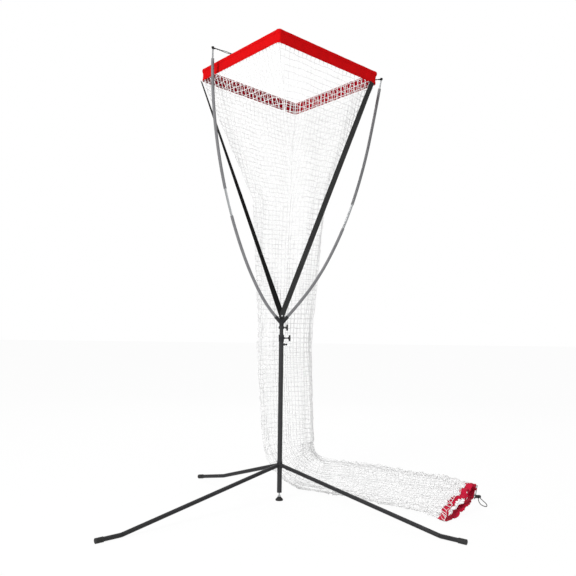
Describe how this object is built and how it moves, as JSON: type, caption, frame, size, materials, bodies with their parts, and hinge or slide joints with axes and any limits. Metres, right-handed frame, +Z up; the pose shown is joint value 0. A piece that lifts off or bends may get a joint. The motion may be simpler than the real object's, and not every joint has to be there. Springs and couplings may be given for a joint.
{
  "type": "target net",
  "caption": "Free-standing square target hoop on bowed arms and a telescoping mast, with a net funnel and sleeve that leads balls to the floor.",
  "frame": {"origin": "on the floor under the mast, at the centre of the foot pad's lower face", "axes": "+Z up along the mast, -Y towards the front, +X to the right seen from the front"},
  "size_m": [2.343, 1.6037, 3.0127],
  "materials": {
    "black_steel": "satin powder coat",
    "black_rubber": "matt",
    "black_plastic": "matt",
    "bright_steel": "bright",
    "grey_tube": "grey fibre tube, satin",
    "glass_fibre": "drawn rod",
    "red_fabric": "coated fabric",
    "black_webbing": "woven webbing",
    "black_cord": "cord",
    "white_net": "knotted white net"
  },
  "bodies": {
    "base": {"lower_pole": "black_steel", "pole_plug": "black_plastic", "leg_hub": "black_steel", "front_left_leg": "black_steel", "front_right_leg": "black_steel", "back_leg": "black_steel", "front_left_cap": "black_rubber", "front_right_cap": "black_rubber", "back_cap": "black_rubber", "leg_bolts": "bright_steel", "slide_bush": "black_plastic", "clamp_collar": "black_steel", "pin_housing": "black_steel", "pin_spring": "bright_steel", "net_drop": "white_net", "net_tail": "white_net", "end_band": "red_fabric", "drawstring": "black_cord", "cord_lock": "black_plastic", "lock_spring": "bright_steel"},
    "foot": {"foot_pad": "black_rubber", "foot_nut": "bright_steel", "foot_stud": "bright_steel"},
    "mast": {"mast_tube": "black_steel", "mast_guide": "black_plastic"},
    "head": {"head_bracket": "black_steel", "head_collar": "black_steel", "left_lower_arm": "grey_tube", "left_joiner": "bright_steel", "left_upper_arm": "grey_tube", "left_tip": "bright_steel", "left_tip_cap": "black_rubber", "right_lower_arm": "grey_tube", "right_joiner": "bright_steel", "right_upper_arm": "grey_tube", "right_tip": "bright_steel", "right_tip_cap": "black_rubber", "left_tie": "black_cord", "right_tie": "black_cord", "near_left_rod": "glass_fibre", "near_right_rod": "glass_fibre", "far_right_rod": "glass_fibre", "far_left_rod": "glass_fibre", "left_elbow": "black_plastic", "near_elbow": "black_plastic", "right_elbow": "black_plastic", "far_elbow": "black_plastic", "target_band": "red_fabric", "left_strap": "black_webbing", "right_strap": "black_webbing", "strap_bolt": "bright_steel", "net_funnel": "white_net", "net_sleeve": "white_net"},
    "upper_knob": {"upper_knob": "black_plastic"},
    "lower_knob": {"lower_knob": "black_plastic"},
    "pull_pin": {"pull_pin": "black_plastic"},
    "lock_button": {"lock_button": "black_plastic"}
  },
  "joints": [
    {"name": "foot_adjust", "type": "slide", "parent": "base", "child": "foot", "axis": [0, 0, 1], "range_m": [0, 0.016]},
    {"name": "mast_height", "type": "slide", "parent": "base", "child": "mast", "axis": [0, 0, 1], "range_m": [0, 0.4]},
    {"name": "head_swivel", "type": "hinge", "parent": "mast", "child": "head", "pos_m": [0, 0, 1.174], "axis": [0, 0, 1], "range_deg": [-30, 30]},
    {"name": "upper_knob_turn", "type": "hinge", "parent": "head", "child": "upper_knob", "pos_m": [0.03, 0, 1.1465], "axis": [1, 0, 0], "range_deg": [0, 360]},
    {"name": "lower_knob_turn", "type": "hinge", "parent": "base", "child": "lower_knob", "pos_m": [0.03, 0, 1.076], "axis": [1, 0, 0], "range_deg": [0, 360]},
    {"name": "pull_pin_slide", "type": "slide", "parent": "base", "child": "pull_pin", "axis": [1, 0, 0], "range_m": [0, 0.004], "stiffness_N_per_m": 600, "springref_m": -0.002, "deforming": ["pin_spring"]},
    {"name": "lock_button_press", "type": "slide", "parent": "base", "child": "lock_button", "axis": [-1, 0, 0], "range_m": [0, 0.003], "stiffness_N_per_m": 400, "springref_m": -0.002, "deforming": ["lock_spring"]}
  ]
}
